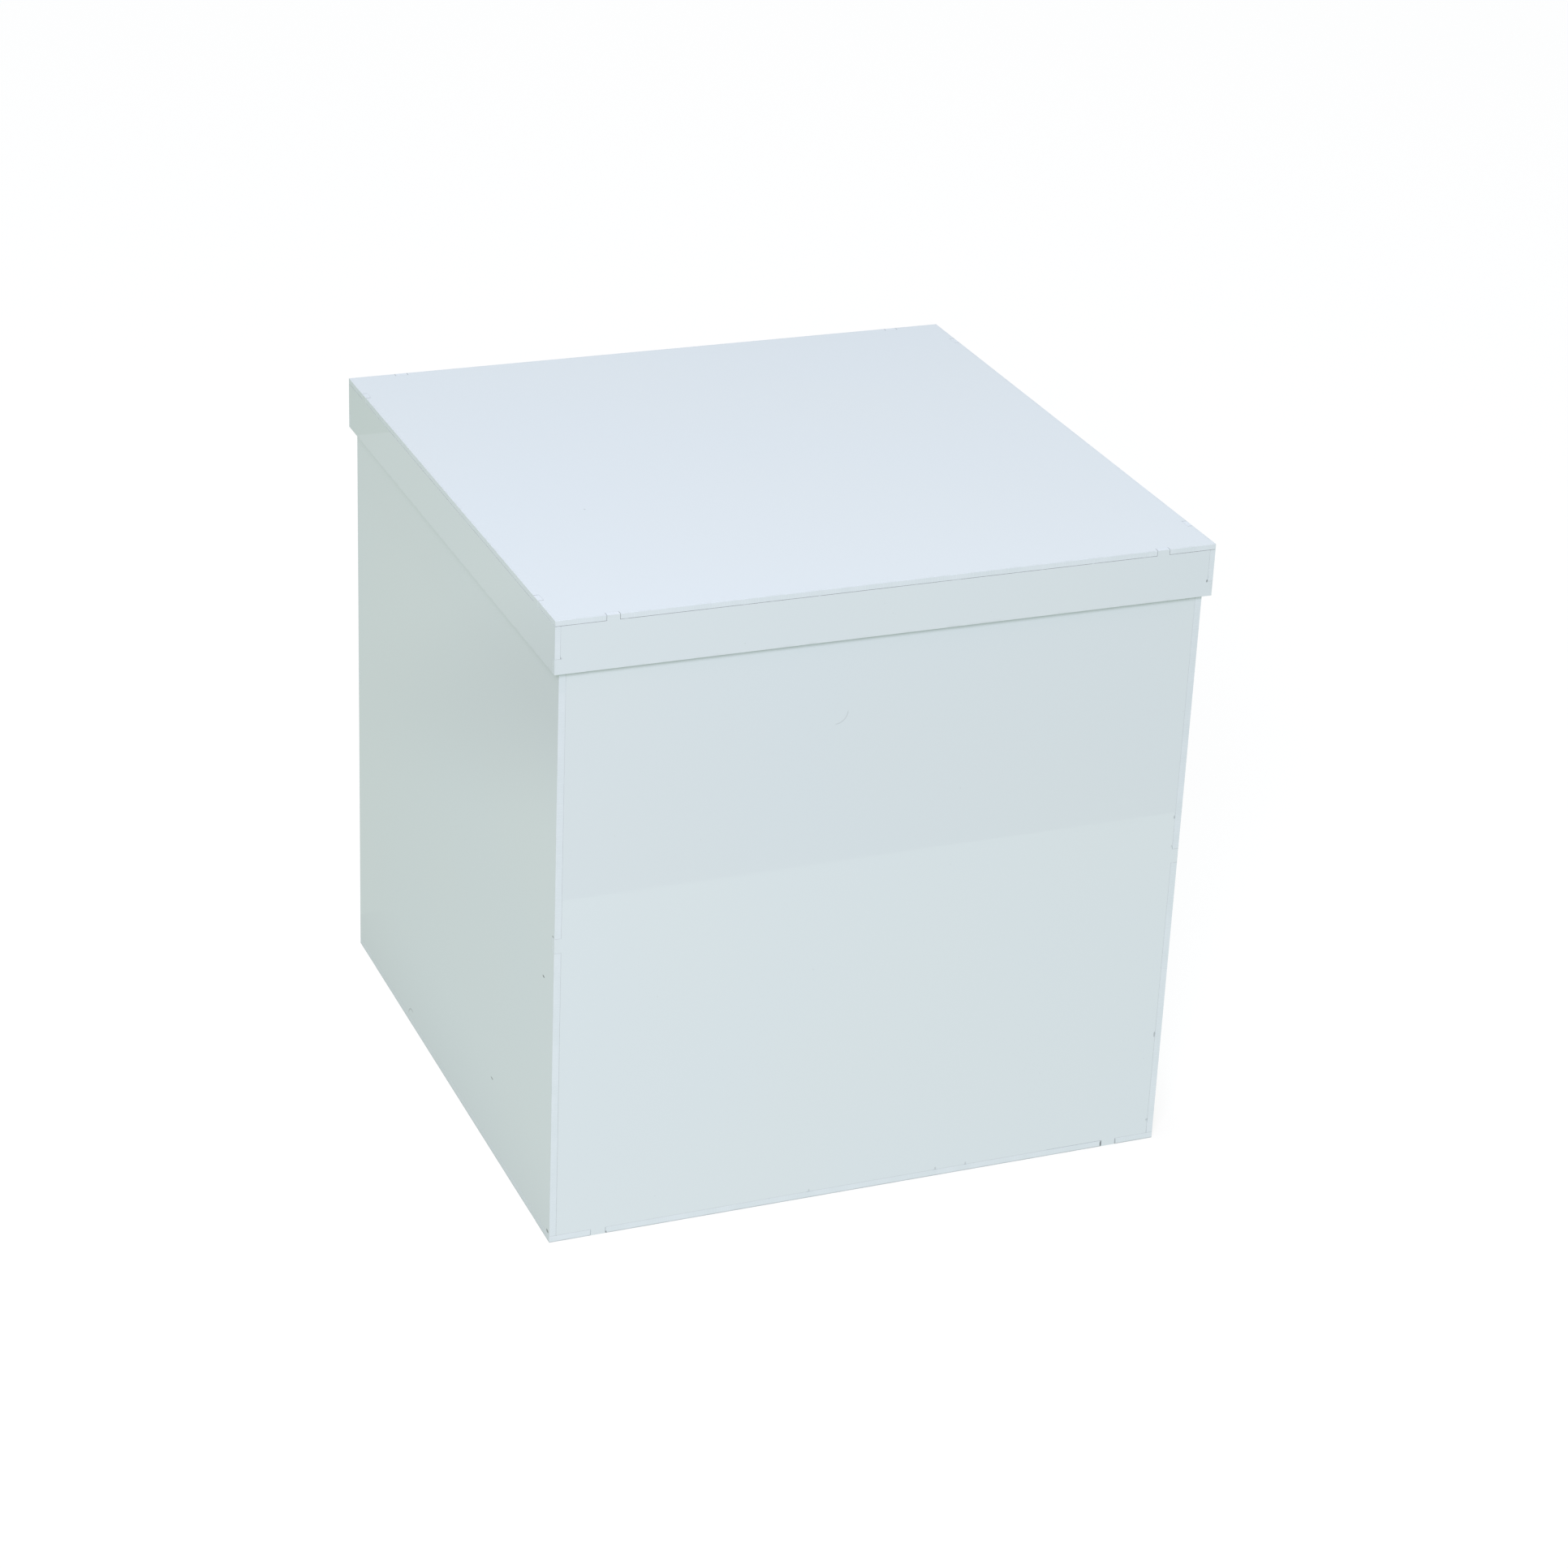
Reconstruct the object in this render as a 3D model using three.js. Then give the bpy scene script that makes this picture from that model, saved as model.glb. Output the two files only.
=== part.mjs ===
// Display plinth in white acrylic sheet: a square case with a lift-off lid that slips over its rim.
// Every piece is flat sheet, cut to an outline with tabs and notches, and glued to its neighbours.
// Millimetres, +Z up, front towards -Y, origin on the floor under the centre of the case.
import * as THREE from 'three';

// Driving dimensions
const LID_SIDE = 500; // outer side of the square lid
const LID_SHEET = 4; // sheet that the lid is cut from
const LID_DEPTH = 40; // outer height of the lid, from its top to the lower edge of its skirt
const LID_CLEARANCE = 1; // between the skirt and the case, on every side
const HEIGHT = 495; // floor to the top of the lid
const CASE_SHEET = 5; // sheet that the case is cut from
const GLUE_LINE = 0.25; // gap that the glue fills at every joint
const TAB_INSET = 37; // lid's outer side to the outer end of the nearest edge tab
const EDGE_TAB_LID = 9.5; // length of the tabs that come up through the lid's top panel
const EDGE_TAB_CASE = 11.25; // length of the tabs that go down through the base panel
const CORNER_TAB = 11.25; // height of the tabs and fingers in the upright corners
const CORNER_TAB_BASE = 238; // floor to the lower end of the tabs in the case's corners

// Sizes that follow from them
const CASE_SIDE = LID_SIDE - 2 * (LID_SHEET + LID_CLEARANCE);
const EDGE_TAB_REACH = LID_SIDE / 2 - TAB_INSET;
const LID_JOINT = LID_SHEET + GLUE_LINE;
const CASE_JOINT = CASE_SHEET + GLUE_LINE;
const SKIRT_BASE = HEIGHT - LID_DEPTH;
const SKIRT_HEIGHT = LID_DEPTH - LID_JOINT;
const WALL_HEIGHT = HEIGHT - LID_SHEET - CASE_JOINT;

const SIDE_NAMES = ['front', 'right', 'back', 'left'];

// A tooth stands out of one side of an outline, or cuts into it where its depth is negative.
// `at` is the distance to it from the side's first end.
const tooth = (at, length, depth) => ({ at, length, depth });

// The same tooth, measured from the side's other end.
const fromFarEnd = ({ at, length, depth }, sideLength) => tooth(sideLength - at - length, length, depth);

// A notch leaves the glue line round a tab of the given place and length.
const notchFor = (at, length, depth) => tooth(at - GLUE_LINE, length + 2 * GLUE_LINE, -depth);

// Two tabs whose outer ends are EDGE_TAB_REACH from the middle of the side.
function edgeTabs(sideLength, length, depth) {
  const tab = tooth(sideLength / 2 - EDGE_TAB_REACH, length, depth);
  return [tab, fromFarEnd(tab, sideLength)];
}

// Two notches that take such a pair of tabs.
function edgeNotches(sideLength, length, depth) {
  const notch = notchFor(sideLength / 2 - EDGE_TAB_REACH, length, depth);
  return [notch, fromFarEnd(notch, sideLength)];
}

// The points along one side of an anticlockwise outline, after `start` and up to `end`.
function sidePoints(start, end, teeth) {
  const along = end.clone().sub(start).normalize();
  const outward = new THREE.Vector2(along.y, -along.x);
  const pointAt = (distance, depth) =>
    start.clone().addScaledVector(along, distance).addScaledVector(outward, depth);
  const points = [];
  for (const { at, length, depth } of teeth) {
    points.push(pointAt(at, 0), pointAt(at, depth));
    points.push(pointAt(at + length, depth), pointAt(at + length, 0));
  }
  points.push(end);
  return points;
}

// A flat panel: a rectangle centred on x = 0 with its lower side on y = 0, and its thickness along +z.
// `teeth` lists the teeth of each side, anticlockwise: bottom, right, top, left.
function panelGeometry(width, height, sheet, teeth) {
  const corners = [
    new THREE.Vector2(-width / 2, 0),
    new THREE.Vector2(width / 2, 0),
    new THREE.Vector2(width / 2, height),
    new THREE.Vector2(-width / 2, height),
  ];
  const sides = ['bottom', 'right', 'top', 'left'];
  const outline = sides.flatMap((side, i) => sidePoints(corners[i], corners[(i + 1) % 4], teeth[side] ?? []));
  const isNew = (point, i) => !point.equals(outline[(i + 1) % outline.length]);
  const shape = new THREE.Shape(outline.filter(isNew));
  return new THREE.ExtrudeGeometry(shape, { depth: sheet, bevelEnabled: false });
}

function acrylicMesh(name, geometry) {
  const material = new THREE.MeshStandardMaterial({ color: 0xe3eaed, roughness: 0.12, metalness: 0 });
  const mesh = new THREE.Mesh(geometry, material);
  mesh.name = name;
  return mesh;
}

// A square panel lying flat, centred on the origin, with notches for two tabs in each of its sides.
function flatPanel(name, side, sheet, tabLength, height) {
  const notches = edgeNotches(side, tabLength, sheet + GLUE_LINE);
  const teeth = { bottom: notches, right: notches, top: notches, left: notches };
  const mesh = acrylicMesh(name, panelGeometry(side, side, sheet, teeth));
  mesh.position.set(0, -side / 2, height);
  return mesh;
}

// Four upright panels round a square, one kind at the front and back and the other at the sides.
function uprightRing(prefix, squareSide, sheet, height, frontGeometry, sideGeometry) {
  const ring = new THREE.Group();
  SIDE_NAMES.forEach((sideName, i) => {
    const quarter = new THREE.Group();
    const mesh = acrylicMesh(`${prefix}_${sideName}`, i % 2 === 0 ? frontGeometry : sideGeometry);
    mesh.rotation.x = Math.PI / 2;
    mesh.position.set(0, sheet - squareSide / 2, height);
    quarter.rotation.z = (i * Math.PI) / 2;
    quarter.add(mesh);
    ring.add(quarter);
  });
  return ring;
}

// The front and back walls stand between the side walls and reach through them at one tab in each corner.
function makeCase() {
  const frontWidth = CASE_SIDE - 2 * CASE_JOINT;
  const cornerTabAt = CORNER_TAB_BASE - CASE_JOINT;
  const cornerTab = tooth(cornerTabAt, CORNER_TAB, CASE_JOINT);
  const cornerNotch = notchFor(cornerTabAt, CORNER_TAB, CASE_JOINT);
  const frontWall = panelGeometry(frontWidth, WALL_HEIGHT, CASE_SHEET, {
    bottom: edgeTabs(frontWidth, EDGE_TAB_CASE, CASE_JOINT),
    right: [cornerTab],
    left: [fromFarEnd(cornerTab, WALL_HEIGHT)],
  });
  const sideWall = panelGeometry(CASE_SIDE, WALL_HEIGHT, CASE_SHEET, {
    bottom: edgeTabs(CASE_SIDE, EDGE_TAB_CASE, CASE_JOINT),
    right: [cornerNotch],
    left: [fromFarEnd(cornerNotch, WALL_HEIGHT)],
  });
  const group = new THREE.Group();
  group.add(flatPanel('case_base', CASE_SIDE, CASE_SHEET, EDGE_TAB_CASE, 0));
  group.add(uprightRing('case_wall', CASE_SIDE, CASE_SHEET, CASE_JOINT, frontWall, sideWall));
  return group;
}

// The front and back skirts stand between the side skirts, and end in a finger at each lower corner.
function makeLid() {
  const innerWidth = LID_SIDE - 2 * LID_JOINT;
  const finger = tooth(0, CORNER_TAB, LID_JOINT);
  const upperEnd = tooth(CORNER_TAB + GLUE_LINE, SKIRT_HEIGHT - CORNER_TAB - GLUE_LINE, LID_JOINT);
  const tabs = edgeTabs(innerWidth, EDGE_TAB_LID, LID_JOINT);
  const frontSkirt = panelGeometry(innerWidth, SKIRT_HEIGHT, LID_SHEET, {
    right: [finger],
    top: tabs,
    left: [fromFarEnd(finger, SKIRT_HEIGHT)],
  });
  const sideSkirt = panelGeometry(innerWidth, SKIRT_HEIGHT, LID_SHEET, {
    right: [upperEnd],
    top: tabs,
    left: [fromFarEnd(upperEnd, SKIRT_HEIGHT)],
  });
  const group = new THREE.Group();
  group.add(flatPanel('lid_top', LID_SIDE, LID_SHEET, EDGE_TAB_LID, HEIGHT - LID_SHEET));
  group.add(uprightRing('lid_skirt', LID_SIDE, LID_SHEET, SKIRT_BASE, frontSkirt, sideSkirt));
  return group;
}

const plinth = new THREE.Group();
plinth.add(makeCase(), makeLid());

export default plinth;
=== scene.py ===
import math

import bmesh
import bpy
from mathutils import Matrix, Quaternion, Vector, noise


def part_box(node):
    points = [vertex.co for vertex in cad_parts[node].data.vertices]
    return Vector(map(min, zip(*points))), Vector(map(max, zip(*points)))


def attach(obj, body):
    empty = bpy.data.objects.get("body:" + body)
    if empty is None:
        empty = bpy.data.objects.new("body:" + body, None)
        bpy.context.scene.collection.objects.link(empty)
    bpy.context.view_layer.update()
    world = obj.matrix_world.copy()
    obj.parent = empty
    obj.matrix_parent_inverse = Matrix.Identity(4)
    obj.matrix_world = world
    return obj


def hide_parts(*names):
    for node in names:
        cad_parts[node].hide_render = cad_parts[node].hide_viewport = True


MM = 0.001
X, Y, Z = range(3)
AXES = (Vector((1, 0, 0)), Vector((0, 1, 0)), Vector((0, 0, 1)))
SIDES = ("front", "right", "back", "left")

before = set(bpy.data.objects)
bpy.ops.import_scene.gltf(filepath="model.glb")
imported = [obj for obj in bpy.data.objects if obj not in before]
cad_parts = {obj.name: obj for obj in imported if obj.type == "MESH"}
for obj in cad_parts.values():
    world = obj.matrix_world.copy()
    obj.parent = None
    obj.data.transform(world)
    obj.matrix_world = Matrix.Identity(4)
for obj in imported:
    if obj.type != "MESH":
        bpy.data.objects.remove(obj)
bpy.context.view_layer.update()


# ---- Places that the CAD model gives ----

def levels(node, axis):
    """The distinct coordinates of a CAD node's corners along an axis, from the lowest up."""
    found = []
    for value in sorted(v.co[axis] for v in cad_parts[node].data.vertices):
        if not found or value - found[-1] > 0.01 * MM:
            found.append(value)
    return found


# The front walls and skirts show every level that the joints need; the other sides repeat them.
CASE_HALF, WALL_END_X, BASE_TAB_OUT, BASE_TAB_IN = [-x for x in levels("case_wall_front", X)[:4]]
WALL_FOOT, CORNER_TAB_BOTTOM, CORNER_TAB_TOP, WALL_TOP = levels("case_wall_front", Z)[1:]
BASE_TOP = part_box("case_base")[1].z
CASE_SHEET = BASE_TOP
LID_HALF, SKIRT_END_X, LID_TAB_OUT, LID_TAB_IN = [-x for x in levels("lid_skirt_front", X)[:4]]
SKIRT_FOOT, FINGER_TOP, SKIRT_TOP, LID_TOP = levels("lid_skirt_front", Z)
LID_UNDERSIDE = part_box("lid_top")[0].z
LID_SHEET = LID_TOP - LID_UNDERSIDE
GLUE_LINE = LID_UNDERSIDE - SKIRT_TOP


# ---- Node materials ----

class Shader:
    """A node material being built. add() makes a node, links inputs given as sockets and sets the others."""

    def __init__(self, name):
        self.material = bpy.data.materials.new(name)
        self.material.use_nodes = True
        self.tree = self.material.node_tree
        self.surface = self.tree.nodes["Principled BSDF"]

    def feed(self, node, inputs):
        for key, value in inputs.items():
            if isinstance(value, bpy.types.NodeSocket):
                self.tree.links.new(value, node.inputs[key])
            else:
                node.inputs[key].default_value = value

    def add(self, kind, inputs, output=0, **settings):
        node = self.tree.nodes.new("ShaderNode" + kind)
        for key, value in settings.items():
            setattr(node, key, value)
        self.feed(node, inputs)
        return node.outputs[output]

    def math(self, operation, a, b=0.0, c=0.0):
        return self.add("Math", {0: a, 1: b, 2: c}, operation=operation)

    def vector(self, operation, a, b=(0, 0, 0)):
        return self.add("VectorMath", {0: a, 1: b}, operation=operation)

    def measure(self, operation, a, b=(0, 0, 0)):
        """A vector operation that gives a number."""
        return self.add("VectorMath", {0: a, 1: b}, output="Value", operation=operation)

    def position(self, offset=(0, 0, 0), scale=(1, 1, 1), rotation=(0, 0, 0)):
        """The place on the piece, in its own frame, moved, turned and stretched for a pattern."""
        place = self.add("TexCoord", {}, output="Object")
        settings = {"Vector": place, "Location": offset, "Rotation": rotation, "Scale": scale}
        return self.add("Mapping", settings, vector_type="POINT")

    def noise(self, place, scale, detail=2.0, roughness=0.5, distortion=0.0):
        inputs = {"Vector": place, "Scale": scale, "Detail": detail, "Roughness": roughness}
        return self.add("TexNoise", {**inputs, "Distortion": distortion}, output="Fac")

    def ramp(self, value, low, high, to_low=0.0, to_high=1.0):
        """value, stretched so that low..high becomes to_low..to_high with a soft start and end."""
        inputs = {"Value": value, "From Min": low, "From Max": high, "To Min": to_low, "To Max": to_high}
        return self.add("MapRange", inputs, interpolation_type="SMOOTHSTEP")

    def mix(self, share, a, b):
        inputs = {"Factor": share, 6: a, 7: b}
        return self.add("Mix", inputs, output=2, data_type="RGBA")

    def stain(self, colour, mask, strength, stain_colour):
        return self.mix(self.math("MULTIPLY", mask, strength), colour, stain_colour)

    def finish(self, colour, roughness, normal):
        """Feeds the surface, which has acrylic's gloss, and gives the material."""
        self.feed(self.surface, {"Base Color": colour, "Roughness": roughness, "Normal": normal})
        self.surface.inputs["IOR"].default_value = ACRYLIC_IOR
        return self.material

    def bump(self, height, distance, normal=None):
        inputs = {"Height": height, "Distance": distance}
        if normal is not None:
            inputs["Normal"] = normal
        return self.add("Bump", inputs)


SHEET_WHITE = (0.715, 0.785, 0.790, 1)
SHEET_COOLER = (0.708, 0.783, 0.800, 1)
EDGE_WHITE = (0.735, 0.806, 0.828, 1)
DUST = (0.36, 0.39, 0.39, 1)
GRIME = (0.12, 0.13, 0.13, 1)
CEMENT_GREY = (0.12, 0.13, 0.13, 1)
CEMENT_MILKY = (0.60, 0.65, 0.66, 1)
ACRYLIC_IOR = 1.49


def hairlines(shader, offset, turn, across, along, share):
    """Long fine scratches in one direction, in patches. share is how much of the sheet has any."""
    place = shader.position(offset, scale=(along, across, across), rotation=turn)
    waves = shader.noise(place, scale=1.0, detail=0.0)
    lines = shader.math("ABSOLUTE", shader.math("SUBTRACT", waves, 0.5))
    thin = shader.ramp(lines, 0.0, 0.006, 1.0, 0.0)
    cover = shader.noise(shader.position(offset), scale=9.0, detail=1.0)
    patches = shader.ramp(cover, 0.62 - share, 0.70 - share)
    return shader.math("MULTIPLY", thin, patches)


def dust_specks(shader, offset):
    """Sparse specks of dust, from a fifth of a millimetre to one millimetre across."""
    specks = shader.add("TexVoronoi", {"Vector": shader.position(offset), "Scale": 55.0}, output="Distance")
    return shader.ramp(specks, 0.012, 0.030, 1.0, 0.0)


def outline_nearness(shader, node, thin_axis, reach):
    """1 at a panel's outline, falling to 0 at a distance of reach from it."""
    low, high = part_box(node)
    from_middle = shader.vector("ABSOLUTE", shader.vector("SUBTRACT", shader.position(), (low + high) / 2))
    overhang = shader.vector("SUBTRACT", from_middle, (high - low) / 2)
    separated = shader.add("SeparateXYZ", {0: overhang}).node
    in_plane = [separated.outputs[axis] for axis in (X, Y, Z) if axis != thin_axis]
    return shader.ramp(shader.math("MAXIMUM", *in_plane), -reach, 0.0)


def spot(shader, centre, size):
    """1 inside a small uneven blot round a point. size holds its half-widths along x, y and z."""
    away = shader.vector("DIVIDE", shader.vector("SUBTRACT", shader.position(), centre), size)
    ragged = shader.math("MULTIPLY_ADD", shader.noise(shader.position(), scale=900.0), 0.5, -0.25)
    return shader.ramp(shader.math("ADD", shader.measure("LENGTH", away), ragged), 0.5, 1.0, 1.0, 0.0)


def curved_scratch(shader, centre, radius, width, bulge):
    """1 along a curved scratch: the quarter of a circle round a point that lies in a direction from it."""
    away = shader.vector("SUBTRACT", shader.position(), centre)
    distance = shader.measure("LENGTH", away)
    off_line = shader.math("ABSOLUTE", shader.math("SUBTRACT", distance, radius))
    share = shader.math("DIVIDE", shader.measure("DOT_PRODUCT", away, Vector(bulge).normalized()), distance)
    thin = shader.ramp(off_line, width / 4, width, 1.0, 0.0)
    return shader.math("MULTIPLY", thin, shader.ramp(share, 0.66, 0.82))


# The marks that show in the photograph. A spot is its centre, its half-widths along x, y and z in
# millimetres, and its strength.
FACE_SPOTS = {
    "case_wall_front": [
        ((WALL_END_X - 0.5 * MM, -CASE_HALF, 0.276), (0.9, 1, 1.8), 0.32),
        ((WALL_END_X - 0.5 * MM, -CASE_HALF, 0.252), (0.8, 1, 1.4), 0.20),
        ((WALL_END_X - 0.5 * MM, -CASE_HALF, 0.092), (1.0, 1, 3.2), 0.38),
        ((WALL_END_X - 0.6 * MM, -CASE_HALF, 0.017), (1.1, 1, 1.3), 0.25),
        ((-0.041, -CASE_HALF, 0.0062), (0.8, 1, 1.6), 0.18),
        ((0.062, -CASE_HALF, 0.0062), (0.9, 1, 1.8), 0.22),
        ((0.087, -CASE_HALF, 0.0062), (0.9, 1, 1.5), 0.20),
    ],
    "case_wall_left": [
        ((-CASE_HALF, -0.223, 0.209), (1, 2.6, 1.1), 0.90),
        ((-CASE_HALF, -0.108, 0.063), (1, 3.4, 1.1), 0.60),
        ((-CASE_HALF, -0.2405, 0.0075), (1, 3.0, 1.7), 0.75),
        ((-CASE_HALF, -0.2420, 0.2500), (1, 2.0, 1.3), 0.60),
    ],
    "lid_top": [((-0.164, -0.062, LID_TOP), (1.0, 1.3, 1), 0.25)],
    "lid_skirt_front": [
        ((SKIRT_END_X - 0.4 * MM, -LID_HALF, FINGER_TOP + 0.6 * MM), (1.0, 1, 1.4), 0.60),
        ((-SKIRT_END_X + 0.4 * MM, -LID_HALF, FINGER_TOP + 0.6 * MM), (0.8, 1, 1.0), 0.25),
    ],
}
# A scratch is its centre, radius, width, direction of its bulge and strength.
FACE_SCRATCHES = {
    "case_wall_front": ((-0.0387, -CASE_HALF, 0.398), 9.5 * MM, 0.7 * MM, (1, 0, -1), 0.16),
    "case_wall_left": ((-CASE_HALF, 0.098, 0.003), 10.0 * MM, 1.0 * MM, (0, 0.5, 1), 0.30),
}
EDGE_SPOTS = {
    "case_base": [
        ((BASE_TAB_IN - 0.7 * MM, -CASE_HALF, 2.6 * MM), (1.1, 1, 3.4), 0.85),
        ((BASE_TAB_OUT + 0.4 * MM, -CASE_HALF, 2.4 * MM), (0.9, 1, 3.2), 0.35),
        ((-BASE_TAB_IN + 0.4 * MM, -CASE_HALF, 0.8 * MM), (1.1, 1, 1.4), 0.60),
        ((-BASE_TAB_OUT - 0.3 * MM, -CASE_HALF, 2.4 * MM), (0.6, 1, 3.0), 0.15),
    ],
}


def blemished(shader, colour, spots):
    """The colour with grime on it where the spots are."""
    for centre, half_widths, strength in spots:
        mask = spot(shader, centre, [width * MM for width in half_widths])
        colour = shader.stain(colour, mask, strength, GRIME)
    return colour


def painted_contact_shade(shader):
    """1 along the base's lower edge, and uneven: painted shade, a dark line where the base meets the floor.
    """
    height = shader.add("SeparateXYZ", {0: shader.position()}, output=Z)
    uneven = shader.ramp(shader.noise(shader.position(), scale=70.0, detail=3.0), 0.3, 0.6, 0.55, 1.0)
    return shader.math("MULTIPLY", shader.ramp(height, 0.2 * MM, 1.1 * MM, 1.0, 0.0), uneven)


def acrylic_face(node, offset, thin_axis):
    """The polished face of a sheet: glossy, with faint smears, hairline scratches, dust and worn borders."""
    shader = Shader(node + "_face")
    place = shader.position(offset)
    specks = dust_specks(shader, offset)
    patchy = shader.ramp(shader.noise(place, scale=120.0, detail=3.0), 0.42, 0.68)
    worn = shader.math("MULTIPLY", outline_nearness(shader, node, thin_axis, 2.5 * MM), patchy)
    tint = shader.ramp(shader.noise(place, scale=3.2, detail=2.0), 0.3, 0.7)
    colour = shader.mix(tint, SHEET_WHITE, SHEET_COOLER)
    colour = shader.stain(colour, specks, 0.3, DUST)
    colour = shader.stain(colour, worn, 0.12, DUST)
    colour = blemished(shader, colour, FACE_SPOTS.get(node, ()))
    if node in FACE_SCRATCHES:
        *shape, strength = FACE_SCRATCHES[node]
        colour = shader.stain(colour, curved_scratch(shader, *shape), strength, GRIME)

    smears = shader.noise(place, scale=11.0, detail=4.0, roughness=0.62, distortion=0.6)
    strokes = shader.position(offset, scale=(5.0, 48.0, 48.0), rotation=(0.3, 0.2, 0.9))
    wiped = shader.noise(strokes, scale=1.0, detail=3.0)
    scratches = [
        hairlines(shader, offset, (0.4, 0.7, 1.1), across=130.0, along=1.6, share=0.05),
        hairlines(shader, offset, (1.3, -0.5, 2.3), across=170.0, along=2.4, share=0.03),
        hairlines(shader, offset, (-0.8, 1.2, 0.2), across=110.0, along=3.0, share=0.04),
    ]
    scored = shader.math("MAXIMUM", shader.math("MAXIMUM", *scratches[:2]), scratches[2])
    roughness = shader.ramp(smears, 0.35, 0.75, 0.008, 0.030)
    roughness = shader.math("ADD", roughness, shader.ramp(wiped, 0.45, 0.8, 0.0, 0.015))
    for wear, strength in ((scored, 0.12), (specks, 0.3), (worn, 0.15)):
        roughness = shader.math("MULTIPLY_ADD", wear, strength, roughness)

    normal = shader.bump(shader.noise(place, scale=2.6, detail=1.0), 0.4 * MM)
    relief = shader.math("SUBTRACT", shader.math("MULTIPLY", specks, 3.0), scored)
    normal = shader.bump(relief, 0.004 * MM, normal)
    return shader.finish(colour, roughness, normal)


def acrylic_edge(node, offset, thin_axis):
    """The laser-cut edge of a sheet: fine lines across its thickness, and duller than the face."""
    shader = Shader(node + "_cut_edge")
    stretch = [2400.0, 2400.0, 2400.0]
    stretch[thin_axis] = 60.0
    striations = shader.noise(shader.position(offset, scale=stretch), scale=1.0, detail=2.0)
    cloud = shader.noise(shader.position(offset), scale=60.0, detail=2.0)
    colour = shader.mix(shader.ramp(cloud, 0.3, 0.7), EDGE_WHITE, SHEET_COOLER)
    colour = shader.stain(colour, shader.ramp(striations, 0.62, 0.85), 0.15, DUST)
    colour = blemished(shader, colour, EDGE_SPOTS.get(node, ()))
    if node == "case_base":
        # Painted shade: the base's lower edge is darkened as if in shadow where it meets the floor.
        colour = shader.stain(colour, painted_contact_shade(shader), 0.42, GRIME)
    roughness = shader.ramp(striations, 0.3, 0.8, 0.16, 0.34)
    normal = shader.bump(striations, 0.03 * MM)
    return shader.finish(colour, roughness, normal)


def glue_material(name, colour):
    """Set cement, with bubbles and uneven gloss."""
    shader = Shader(name)
    place = shader.position()
    uneven = shader.noise(place, scale=160.0, detail=3.0)
    bubbles = shader.add("TexVoronoi", {"Vector": place, "Scale": 900.0}, output="Distance")
    colour = shader.mix(shader.ramp(uneven, 0.5, 0.9), colour, SHEET_WHITE)
    colour = shader.stain(colour, shader.ramp(bubbles, 0.1, 0.3, 1.0, 0.0), 0.35, DUST)
    roughness = shader.ramp(uneven, 0.3, 0.7, 0.22, 0.5)
    normal = shader.bump(shader.math("ADD", uneven, bubbles), 0.03 * MM)
    return shader.finish(colour, roughness, normal)


# ---- Sheet panels ----

EDGE_BREAK = 0.08 * MM  # the small radius that cutting and handling leave on every edge
FACE, CUT_EDGE = 0, 1  # a panel's two materials


def sheet_panel(node, body, index):
    """Stands for one CAD panel: the same outline with clean faces, softened edges and its two surfaces."""
    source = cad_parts[node]
    thin_axis = min(range(3), key=lambda axis: source.dimensions[axis])
    mesh = bpy.data.meshes.new(node + "_sheet")
    bm = bmesh.new()
    bm.from_mesh(source.data)
    bmesh.ops.remove_doubles(bm, verts=bm.verts, dist=0.01 * MM)
    bmesh.ops.dissolve_limit(bm, angle_limit=math.radians(1), verts=bm.verts, edges=bm.edges)
    for face in bm.faces:
        face.material_index = FACE if abs(face.normal[thin_axis]) > 0.9 else CUT_EDGE
    broken = bmesh.ops.bevel(
        bm,
        geom=bm.edges[:],
        offset=EDGE_BREAK,
        offset_type="OFFSET",
        segments=2,
        profile=0.5,
        affect="EDGES",
        material=CUT_EDGE,
    )
    for face in broken["faces"]:
        face.smooth = True
    bm.to_mesh(mesh)
    bm.free()
    offset = (3.1 * index, 1.7 * index, 2.3 * index)
    mesh.materials.append(acrylic_face(node, offset, thin_axis))
    mesh.materials.append(acrylic_edge(node, offset, thin_axis))
    piece = bpy.data.objects.new(node + "_sheet", mesh)
    bpy.context.scene.collection.objects.link(piece)
    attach(piece, body)
    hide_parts(node)
    return piece


sheet_panel("case_base", "case", 0)
sheet_panel("lid_top", "lid", 5)
for number, name in enumerate(SIDES, 1):
    sheet_panel(f"case_wall_{name}", "case", number)
    sheet_panel(f"lid_skirt_{name}", "lid", 5 + number)


# ---- Glue ----

IN_JOINT, IN_BEAD = 0, 1  # a glue piece's two materials
SLACK = 0.005 * MM  # left between glue and sheet, so that their faces don't coincide
LID_RECESS = 0.17 * MM  # how far the glue in the lid's joints lies under the surface
BEHIND_TAB_RECESS = 0.01 * MM  # behind the tabs, as seen from above and below
BASE_RECESS = 0.04 * MM
CORNER_RECESS = 0.02 * MM
FOOT_RECESS = 0.1 * MM  # keeps the lower ends of upright glue off the surface below
STARVED_RECESS = 0.95 * MM  # where the joint along the front of the base is short of glue
STARVED_FROM = 0.155  # where that begins, from the middle of the front
FINE_STEP = 0.8 * MM  # between sections of glue that has holes in it
COARSE_STEP = 4 * MM
BEAD_STEP = 6 * MM
CASE_BEAD = 1.6 * MM  # legs of the fillets of squeezed-out glue
LID_BEAD = 0.45 * MM  # small enough for the clearance round the case
PIT_REACH = 1.6 * MM  # of a hole in the glue, along the joint
PIT_DEPTH = 1.2 * MM  # added to the recess in its middle

# Glue beside the base's tabs that has sunk or is missing (None): (outer side, inner side) of each tab.
SUNKEN_TABS = {("front", -1): (0.5 * MM, 1.1 * MM), ("front", 1): (1.1 * MM, None)}
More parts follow.
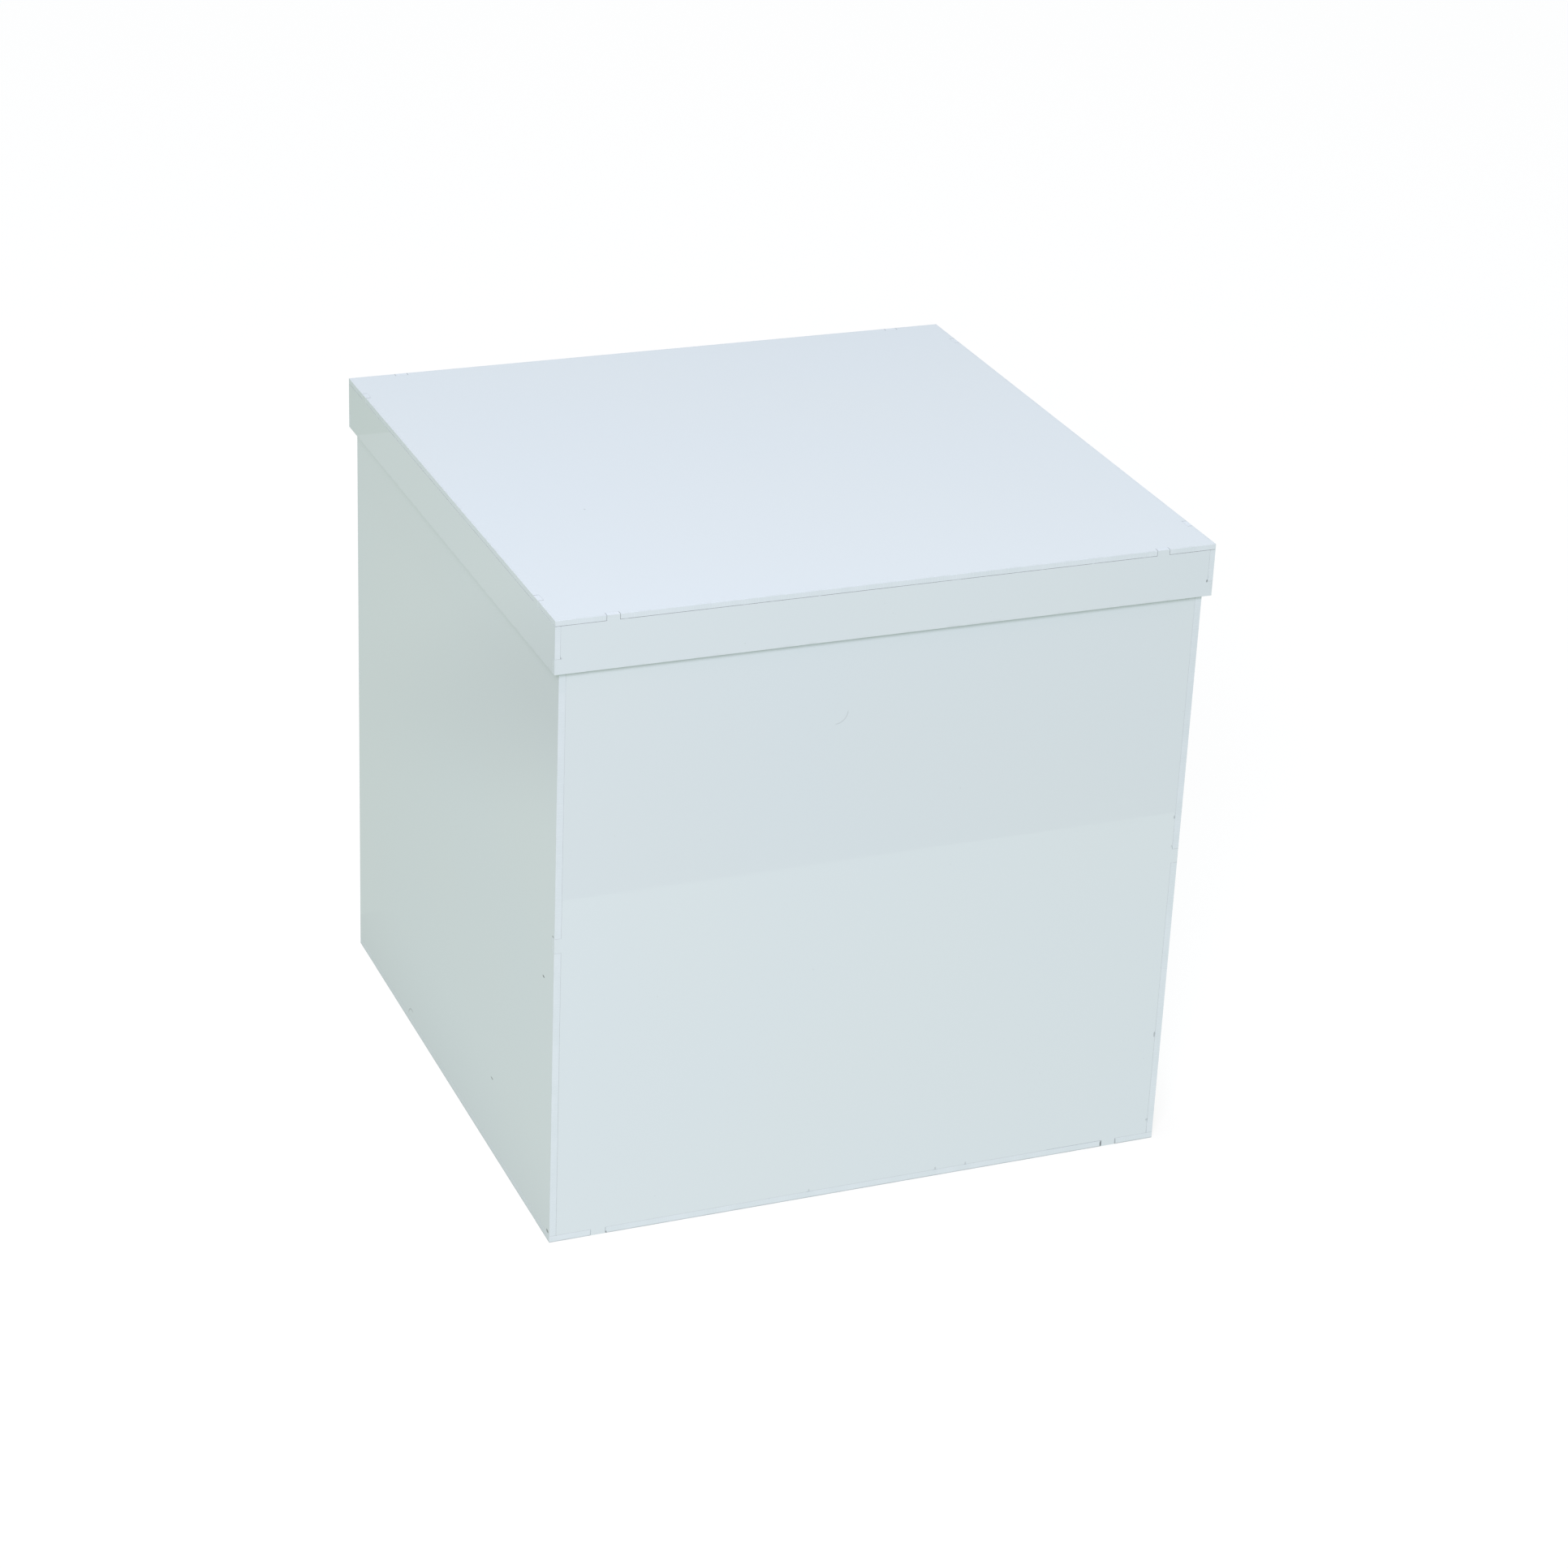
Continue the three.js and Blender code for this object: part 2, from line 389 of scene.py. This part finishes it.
# Holes in the glue: heights in a corner, and distances from the middle along the base.
CASE_CORNER_PITS = {("front", 1): (0.276, 0.250, 0.092, 0.016, 0.006), ("back", 1): (0.131, 0.308)}
LID_CORNER_PITS = {("front", 1): (0.467, 0.4695), ("front", -1): (0.467,)}
BASE_PITS = {
    "front": (-0.041, 0.062, 0.087),
    "right": (0.133,),
    "back": (-0.118, 0.021),
    "left": (-0.2425, 0.077),
}


def sweep(bm, sections, material=IN_JOINT):
    """Joins sections of equal length into a closed tube with flat ends."""
    rings = [[bm.verts.new(point) for point in section] for section in sections]
    faces = [bm.faces.new(list(reversed(rings[0]))), bm.faces.new(rings[-1])]
    for ring, following in zip(rings, rings[1:]):
        for i in range(len(ring)):
            j = (i + 1) % len(ring)
            faces.append(bm.faces.new((ring[i], ring[j], following[j], following[i])))
    for face in faces:
        face.material_index = material


def stations(start, end, step):
    """Evenly spaced points from start to end, about a step apart."""
    count = max(2, math.ceil((end - start).length / step))
    return [start.lerp(end, i / count) for i in range(count + 1)]


def unevenness(point, scale, seed):
    """Smooth noise from about -1 to 1 along a joint."""
    return noise.noise(point * scale + Vector((seed, 0, 0)))


def glue_strip(bm, start, end, inward, depth, recess, pits=(), material=IN_JOINT):
    """Glue that fills a joint from just under the visible face, where start and end lie, to its depth."""
    across = (end - start).normalized().cross(inward) * (GLUE_LINE / 2 - SLACK)
    sections = []
    for point in stations(start, end, FINE_STEP if pits else COARSE_STEP):
        sunk = recess * (1 + 0.35 * unevenness(point, 90, 5))
        for pit in pits:
            sunk += PIT_DEPTH * max(0.0, 1 - (point - pit).length / PIT_REACH)
        outer, inner = point + inward * sunk, point + inward * depth
        sections.append((outer - across, outer + across, inner + across, inner - across))
    sweep(bm, sections, material)


def glue_bead(bm, start, end, first_leg, second_leg, size):
    """A fillet of squeezed-out glue along an inner corner, thicker in some places than in others."""
    hollow_steps = 4
    sections = []
    for point in stations(start, end, BEAD_STEP):
        leg = size * (1 + 0.45 * unevenness(point, 45, 11))
        section = [point]
        for i in range(hollow_steps + 1):
            angle = math.radians(90) * i / hollow_steps
            along_first, along_second = 1 - math.sin(angle), 1 - math.cos(angle)
            section.append(point + (first_leg * along_first + second_leg * along_second) * leg)
        sections.append(section)
    sweep(bm, sections, IN_BEAD)


GREY_CEMENT = glue_material("grey_cement", CEMENT_GREY)  # sunk in the lid's long joints
MILKY_CEMENT = glue_material("milky_cement", CEMENT_MILKY)  # everywhere else


def glue_piece(name, body, joint_cement, quarter, build, *details):
    """One joint's glue. build() adds it to a mesh as at the front; it is then turned by quarters."""
    bm = bmesh.new()
    build(bm, *details)
    bmesh.ops.rotate(bm, matrix=Matrix.Rotation(quarter * math.pi / 2, 3, "Z"), verts=bm.verts)
    bmesh.ops.recalc_face_normals(bm, faces=bm.faces)
    mesh = bpy.data.meshes.new(name)
    bm.to_mesh(mesh)
    bm.free()
    mesh.materials.append(joint_cement)
    mesh.materials.append(MILKY_CEMENT)
    piece = bpy.data.objects.new(name, mesh)
    bpy.context.scene.collection.objects.link(piece)
    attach(piece, body)
    return piece


def tab_glue(bm, tab_ends, outer, sheet, low, high, side_recesses):
    """The glue round one tab in its notch: beside its outer and inner ends, and behind it."""
    middle = sum(tab_ends) / 2
    for end, end_recess in zip(tab_ends, side_recesses):
        if end_recess is None:
            continue
        x = end + math.copysign(GLUE_LINE / 2, end - middle)
        glue_strip(bm, Vector((x, -outer, low)), Vector((x, -outer, high)), AXES[Y], sheet, end_recess)
    behind = -outer + sheet + GLUE_LINE / 2
    start, end = (Vector((x, behind, high)) for x in tab_ends)
    glue_strip(bm, start, end, -AXES[Z], high - low, BEHIND_TAB_RECESS, material=IN_BEAD)


def base_joint(bm, name):
    """The joint between one wall and the base, with its two tabs and the bead along its inside."""
    half_length = WALL_END_X if name in ("front", "back") else CASE_HALF - BASE_RECESS
    z = (BASE_TOP + WALL_FOOT) / 2
    pits = [Vector((x, -CASE_HALF, z)) for x in BASE_PITS[name]]
    runs = [
        (-half_length, -BASE_TAB_OUT, BASE_RECESS),
        (-BASE_TAB_IN, STARVED_FROM, BASE_RECESS),
        (STARVED_FROM, BASE_TAB_IN, STARVED_RECESS if name == "front" else BASE_RECESS),
        (BASE_TAB_OUT, half_length, BASE_RECESS),
    ]
    for low, high, recess in runs:
        start, end = (Vector((x, -CASE_HALF, z)) for x in (low, high))
        glue_strip(bm, start, end, AXES[Y], CASE_SHEET, recess, pits)
    for side in (-1, 1):
        tab_ends = (side * BASE_TAB_OUT, side * BASE_TAB_IN)
        side_recesses = SUNKEN_TABS.get((name, side), (BASE_RECESS, BASE_RECESS))
        tab_glue(bm, tab_ends, CASE_HALF, CASE_SHEET, FOOT_RECESS, BASE_TOP, side_recesses)
    inner = CASE_HALF - CASE_SHEET
    start, end = (Vector((x, -inner, BASE_TOP)) for x in (CASE_BEAD - inner, inner - CASE_BEAD))
    glue_bead(bm, start, end, AXES[Y], AXES[Z], CASE_BEAD)


def case_corner(bm, side, pit_heights):
    """The upright joint of the front wall and a side wall, round the tab that reaches through it."""
    joint = WALL_END_X + GLUE_LINE / 2
    pits = [Vector((side * joint, -CASE_HALF, z)) for z in pit_heights]
    for low, high in ((WALL_FOOT, CORNER_TAB_BOTTOM), (CORNER_TAB_TOP, WALL_TOP)):
        start, end = (Vector((side * joint, -CASE_HALF, z)) for z in (low, high))
        glue_strip(bm, start, end, AXES[Y], CASE_SHEET, CORNER_RECESS, pits)
    for z in (CORNER_TAB_BOTTOM - GLUE_LINE / 2, CORNER_TAB_TOP + GLUE_LINE / 2):
        start, end = (Vector((side * x, -CASE_HALF, z)) for x in (CASE_HALF - CORNER_RECESS, joint))
        glue_strip(bm, start, end, AXES[Y], CASE_SHEET, CORNER_RECESS)
    notch = (CORNER_TAB_BOTTOM - GLUE_LINE, CORNER_TAB_TOP + GLUE_LINE)
    start, end = (Vector((side * CASE_HALF, -joint, z)) for z in notch)
    glue_strip(bm, start, end, AXES[X] * -side, CASE_SHEET, CORNER_RECESS)
    inner = CASE_HALF - CASE_SHEET
    start, end = (Vector((side * inner, -inner, z)) for z in (BASE_TOP + CASE_BEAD, WALL_TOP - 2 * CASE_BEAD))
    glue_bead(bm, start, end, AXES[X] * -side, AXES[Y], CASE_BEAD)


def lid_top_joint(bm, name):
    """The joint between one skirt and the lid's top, with its two tabs and the bead along its inside."""
    half_length = SKIRT_END_X if name in ("front", "back") else LID_HALF - LID_RECESS
    z = (SKIRT_TOP + LID_UNDERSIDE) / 2
    runs = ((-half_length, -LID_TAB_OUT), (-LID_TAB_IN, LID_TAB_IN), (LID_TAB_OUT, half_length))
    for run in runs:
        start, end = (Vector((x, -LID_HALF, z)) for x in run)
        glue_strip(bm, start, end, AXES[Y], LID_SHEET, LID_RECESS)
    for side in (-1, 1):
        tab_ends = (side * LID_TAB_OUT, side * LID_TAB_IN)
        tab_glue(bm, tab_ends, LID_HALF, LID_SHEET, LID_UNDERSIDE, LID_TOP, (LID_RECESS, LID_RECESS))
    inner = LID_HALF - LID_SHEET
    start, end = (Vector((x, -inner, LID_UNDERSIDE)) for x in (LID_BEAD - inner, inner - LID_BEAD))
    glue_bead(bm, start, end, AXES[Y], -AXES[Z], LID_BEAD)


def lid_corner(bm, side, pit_heights):
    """The upright joint in a corner of the lid, stepped round the finger at its lower end."""
    joint = SKIRT_END_X + GLUE_LINE / 2
    step = FINGER_TOP + GLUE_LINE
    pits = [Vector((side * joint, -LID_HALF, z)) for z in pit_heights]
    start, end = (Vector((side * joint, -LID_HALF, z)) for z in (step, SKIRT_TOP))
    glue_strip(bm, start, end, AXES[Y], LID_SHEET, CORNER_RECESS, pits)
    z = step - GLUE_LINE / 2
    start, end = (Vector((side * x, -LID_HALF, z)) for x in (LID_HALF - CORNER_RECESS, joint))
    glue_strip(bm, start, end, AXES[Y], LID_SHEET, CORNER_RECESS)
    start, end = (Vector((side * LID_HALF, -joint, z)) for z in (SKIRT_FOOT + FOOT_RECESS, step))
    glue_strip(bm, start, end, AXES[X] * -side, LID_SHEET, CORNER_RECESS)
    inner = LID_HALF - LID_SHEET
    start, end = (Vector((side * inner, -inner, z)) for z in (SKIRT_FOOT + 2 * MM, LID_UNDERSIDE - LID_BEAD))
    glue_bead(bm, start, end, AXES[X] * -side, AXES[Y], LID_BEAD)


for quarter, name in enumerate(SIDES):
    glue_piece(f"glue_base_{name}", "case", MILKY_CEMENT, quarter, base_joint, name)
    glue_piece(f"glue_lid_{name}", "lid", GREY_CEMENT, quarter, lid_top_joint, name)
for quarter, end_name in ((0, "front"), (2, "back")):
    for side in (-1, 1):
        # Turned round to the back, what stood at the left stands at the right.
        side_name = "left" if (side < 0) == (quarter == 0) else "right"
        corner = f"corner_{end_name}_{side_name}"
        case_pits = CASE_CORNER_PITS.get((end_name, side), ())
        lid_pits = LID_CORNER_PITS.get((end_name, side), ())
        glue_piece(f"glue_case_{corner}", "case", MILKY_CEMENT, quarter, case_corner, side, case_pits)
        glue_piece(f"glue_lid_{corner}", "lid", MILKY_CEMENT, quarter, lid_corner, side, lid_pits)


# ---- Stage ----

STAGE_RADIUS = 30.0
STAGE_STEPS = 96
BACKDROP_HEIGHT = 12.0
PAPER_REACH = 0.515  # how far the bright paper under the plinth reaches out in front and to its right
PAPER_LEFT, PAPER_BACK = -1.3, 1.4  # where it ends on the other two sides
PAPER_GLOW = (0.592, 0.668, 0.598)
ROOM_FLOOR_GLOW = (0.46, 0.55, 0.45)
FRONT_FLOOR_GLOW = (0.08, 0.08, 0.08)  # the darker floor before the paper, as the front wall mirrors it
FRONT_FLOOR_SIDE = 2.5
FRONT_FLOOR_END = -5.0
SHADE_REACH = 0.05  # width of the shade that the plinth throws on the paper at its left
SHADE_DEPTH = 0.88  # how bright the paper still is in that shade, close to the wall
DIM_CENTRE = Vector((-0.68, 0.64, 0))  # a patch of dimmer paper, as the left wall mirrors it
DIM_CORE = 0.05  # it is dimmest within this distance of its centre
DIM_RADIUS = 0.35
DIM_DEPTH = 0.55  # how bright it still is there
FLOOR_WHITE = (0.20, 0.20, 0.19, 1)
FLOOR_GLOW = 0.812
BACKDROP_WHITE = (0.97, 0.97, 0.97)


def ring(radius, z):
    """Points round a level circle."""
    turns = (2 * math.pi * i / STAGE_STEPS for i in range(STAGE_STEPS))
    return [(radius * math.cos(t), radius * math.sin(t), z) for t in turns]


def rectangle(x_span, y_span, z):
    (left, right), (front, back) = x_span, y_span
    return [(left, front, z), (right, front, z), (right, back, z), (left, back, z)]


def stage_piece(name, vertices, faces, material, seen_by):
    """Part of the studio. seen_by names the kinds of light path that meet it."""
    mesh = bpy.data.meshes.new(name)
    mesh.from_pydata(vertices, [], faces)
    mesh.materials.append(material)
    piece = bpy.data.objects.new(name, mesh)
    bpy.context.scene.collection.objects.link(piece)
    for path in ("camera", "diffuse", "glossy", "transmission", "shadow", "volume_scatter"):
        setattr(piece, "visible_" + path, path in seen_by)
    return piece


def glowing(name, colour):
    """An even pale glow, for what the plinth's faces see of the studio."""
    material = bpy.data.materials.new(name)
    material.use_nodes = True
    tree = material.node_tree
    tree.nodes.remove(tree.nodes["Principled BSDF"])
    glow = tree.nodes.new("ShaderNodeEmission")
    glow.inputs["Color"].default_value = (*colour, 1)
    tree.links.new(glow.outputs[0], tree.nodes["Material Output"].inputs["Surface"])
    material.cycles.emission_sampling = "NONE"
    return material


def pale_floor():
    """The floor that the camera sees: a pale matt surface that takes the plinth's faint shadow."""
    shader = Shader("pale_floor")
    shader.feed(shader.surface, {"Base Color": FLOOR_WHITE, "Roughness": 0.9, "Specular IOR Level": 0.0})
    shader.feed(shader.surface, {"Emission Color": (1, 1, 1, 1), "Emission Strength": FLOOR_GLOW})
    shader.material.cycles.emission_sampling = "NONE"
    return shader.material


def shade_beside_plinth(shader):
    """1 where the plinth's left side leaves the paper bright, less towards the wall."""
    x = shader.add("SeparateXYZ", {0: shader.position()}, output=X)
    return shader.ramp(x, -CASE_HALF - SHADE_REACH, -CASE_HALF, 1.0, SHADE_DEPTH)


def dim_patch(shader):
    """1 all round the dim patch, less towards its middle."""
    distance = shader.measure("DISTANCE", shader.position(), DIM_CENTRE)
    return shader.ramp(distance, DIM_CORE, DIM_RADIUS, DIM_DEPTH, 1.0)


def shaded_paper(name, shade):
    """Paper that is as bright as the rest where shade(), which builds on the shader, gives 1."""
    shader = Shader(name)
    shader.tree.nodes.remove(shader.surface)
    glow = shader.add("Emission", {"Color": (*PAPER_GLOW, 1), "Strength": shade(shader)})
    shader.feed(shader.tree.nodes["Material Output"], {"Surface": glow})
    shader.material.cycles.emission_sampling = "NONE"
    return shader.material


paper_half = CASE_HALF + PAPER_REACH
stage_piece("floor", ring(STAGE_RADIUS, 0.0), [tuple(range(STAGE_STEPS))], pale_floor(), ("camera", "shadow"))
steps = [(i, (i + 1) % STAGE_STEPS) for i in range(STAGE_STEPS)]
stage_piece(
    "backdrop",
    ring(STAGE_RADIUS, -1.0) + ring(STAGE_RADIUS, BACKDROP_HEIGHT),
    [(i, j, j + STAGE_STEPS, i + STAGE_STEPS) for i, j in steps],
    glowing("pale_backdrop", BACKDROP_WHITE),
    ("camera",),
)
room_span = (-STAGE_RADIUS, STAGE_RADIUS)
one_face = [(0, 1, 2, 3)]
bounce = ("diffuse", "glossy")
stage_piece(
    "paper_light",
    rectangle((PAPER_LEFT, paper_half), (-paper_half, PAPER_BACK), -1.0 * MM),
    one_face,
    glowing("paper", PAPER_GLOW),
    bounce,
)
stage_piece(
    "shaded_paper_light",
    rectangle((-CASE_HALF - SHADE_REACH, -CASE_HALF), (-CASE_HALF, CASE_HALF + SHADE_REACH), -0.5 * MM),
    one_face,
    shaded_paper("shaded_paper", shade_beside_plinth),
    bounce,
)
stage_piece(
    "dim_paper_reflection",
    rectangle(*((c - DIM_RADIUS, c + DIM_RADIUS) for c in DIM_CENTRE.xy), -0.75 * MM),
    one_face,
    shaded_paper("dim_paper", dim_patch),
    ("glossy",),
)
stage_piece(
    "front_floor_reflection",
    rectangle((-FRONT_FLOOR_SIDE, FRONT_FLOOR_SIDE), (FRONT_FLOOR_END, -paper_half), -1.5 * MM),
    one_face,
    glowing("front_floor", FRONT_FLOOR_GLOW),
    ("glossy",),
)
stage_piece(
    "room_floor_light",
    rectangle(room_span, room_span, -2.0 * MM),
    one_face,
    glowing("room_floor", ROOM_FLOOR_GLOW),
    bounce,
)


# ---- Light ----

def lamp_data(name, kind, strengths):
    """A lamp's data, with the strengths of its red, green and blue light."""
    data = bpy.data.lights.new(name, kind)
    data.energy = max(strengths)
    data.color = [strength / data.energy for strength in strengths]
    return data


def sun(name, azimuth, elevation, spread, strengths):
    """A distant soft light. Azimuth 0 shines from the front, and 90 from the right; angles in degrees.

    No light is mirrored in the glossy faces, where it would bleach the lid from some directions.
    """
    data = lamp_data(name, "SUN", strengths)
    data.angle = math.radians(spread)
    lamp = bpy.data.objects.new(name, data)
    lamp.visible_glossy = False
    a, e = math.radians(azimuth), math.radians(elevation)
    source = Vector((math.sin(a) * math.cos(e), -math.cos(a) * math.cos(e), math.sin(e)))
    lamp.rotation_mode = "QUATERNION"
    lamp.rotation_quaternion = source.to_track_quat("Z", "Y")
    bpy.context.scene.collection.objects.link(lamp)
    return lamp


def softbox(name, place, aim, width, height, strengths):
    """A rectangular light at a place, turned to a point to light."""
    data = lamp_data(name, "AREA", strengths)
    data.shape = "RECTANGLE"
    data.size, data.size_y = width, height
    lamp = bpy.data.objects.new(name, data)
    lamp.visible_glossy = False
    lamp.location = place
    lamp.rotation_mode = "QUATERNION"
    lamp.rotation_quaternion = (Vector(place) - Vector(aim)).to_track_quat("Z", "Y")
    bpy.context.scene.collection.objects.link(lamp)
    return lamp


sun("overhead", azimuth=-90, elevation=86.5, spread=7, strengths=(0.68, 0.79, 0.92))
sun("back_fill", azimuth=180, elevation=12, spread=60, strengths=(0.52, 0.46, 0.50))
sun("right_fill", azimuth=100, elevation=12, spread=60, strengths=(0.52, 0.46, 0.50))
softbox(
    "key",
    place=(-2.3, -3.9, 3.0),
    aim=(0, 0, 0.3),
    width=1.6,
    height=1.8,
    strengths=(156.9, 146.5, 173.4),
)

ROOM_LIGHT = 0.5
world = bpy.data.worlds.new("room")
world.use_nodes = True
world.node_tree.nodes["Background"].inputs["Color"].default_value = (1, 1, 1, 1)
world.node_tree.nodes["Background"].inputs["Strength"].default_value = ROOM_LIGHT
bpy.context.scene.world = world


# ---- Camera ----

CAMERA_AZIMUTH = -22.826  # degrees round from straight in front, towards the plinth's left
CAMERA_ELEVATION = 25.436
CAMERA_ROLL = 2.559
CAMERA_DISTANCE = 3.0555
CAMERA_AIM = Vector((0.0200, -0.0176, 0.2297))
CAMERA_LENS_MM = 90.49
SENSOR_MM = 36


def make_camera():
    """Stands where the photographer stood, and frames the plinth as the photograph does."""
    data = bpy.data.cameras.new("camera")
    data.sensor_width = SENSOR_MM
    data.lens = CAMERA_LENS_MM
    data.clip_end = 2 * STAGE_RADIUS
    camera = bpy.data.objects.new("camera", data)
    a, e = math.radians(CAMERA_AZIMUTH), math.radians(CAMERA_ELEVATION)
    back = Vector((math.sin(a) * math.cos(e), -math.cos(a) * math.cos(e), math.sin(e)))
    camera.location = CAMERA_AIM + back * CAMERA_DISTANCE
    camera.rotation_mode = "QUATERNION"
    roll = Quaternion((0, 0, 1), math.radians(CAMERA_ROLL))
    camera.rotation_quaternion = back.to_track_quat("Z", "Y") @ roll
    bpy.context.scene.collection.objects.link(camera)
    bpy.context.scene.camera = camera


make_camera()
bpy.context.scene.view_settings.view_transform = "Standard"
